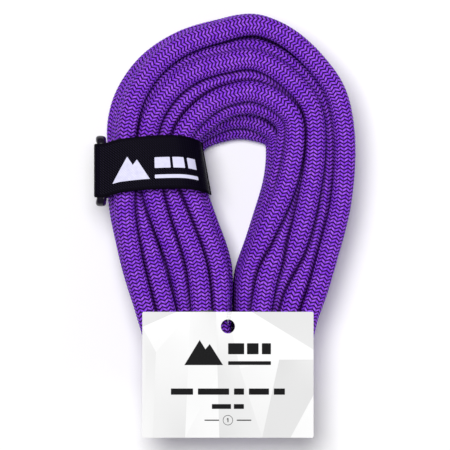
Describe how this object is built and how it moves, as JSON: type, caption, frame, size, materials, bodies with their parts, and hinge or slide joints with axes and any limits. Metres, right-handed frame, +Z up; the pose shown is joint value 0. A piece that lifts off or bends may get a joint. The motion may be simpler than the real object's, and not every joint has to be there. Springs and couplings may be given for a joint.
{
  "type": "dynamic climbing rope hank",
  "caption": "Violet braided climbing rope coiled into a folded hank, with a hook-and-loop strap and ring round one leg and a blank swing tag over the lower turn.",
  "frame": {"origin": "middle of the footprint, on the surface the hank lies on", "axes": "+Y along the hank towards its arch, +X towards the leg without the strap, +Z up out of the front face"},
  "size_m": [0.1296, 0.2112, 0.0542],
  "materials": {
    "rope_sheath": "braided polyamide sheath, slight sheen",
    "rope_core": "white core yarn",
    "shrink_sleeve": "clear shrink sleeve",
    "sealed_tip": "melted polyamide",
    "webbing": "fine satin weave",
    "ring": "glossy moulded",
    "loop_pile": "brushed loop pile",
    "hook_field": "moulded hooks",
    "thread": "polyester thread",
    "card": "smooth coated card",
    "nylon": "clear nylon"
  },
  "bodies": {
    "hank": {"rope_hank": "rope_sheath", "end_a_sheath": "rope_sheath", "end_b_sheath": "rope_sheath", "end_a_core": "rope_core", "end_b_core": "rope_core", "end_a_sleeve": "shrink_sleeve", "end_b_sleeve": "shrink_sleeve", "end_a_sealed_tip": "sealed_tip", "end_b_sealed_tip": "sealed_tip", "strap_band": "webbing", "strap_ring": "ring", "loop_patch": "loop_pile", "eye_stitches": "thread", "tag_loop": "nylon", "tag_lock": "nylon"},
    "flap": {"strap_flap": "webbing", "hook_patch": "hook_field", "flap_tab": "webbing", "tab_stitches": "thread"},
    "tag": {"tag_card": "card"}
  },
  "joints": [
    {"name": "flap_peel", "type": "hinge", "parent": "hank", "child": "flap", "pos_m": [-0.0611, 0.0285, 0.0501], "axis": [0, -1, 0], "range_deg": [0, 150]},
    {"name": "tag_swing", "type": "hinge", "parent": "hank", "child": "tag", "pos_m": [0.0017, -0.0431, 0.0467], "axis": [-1, 0, 0], "range_deg": [0, 150]}
  ]
}
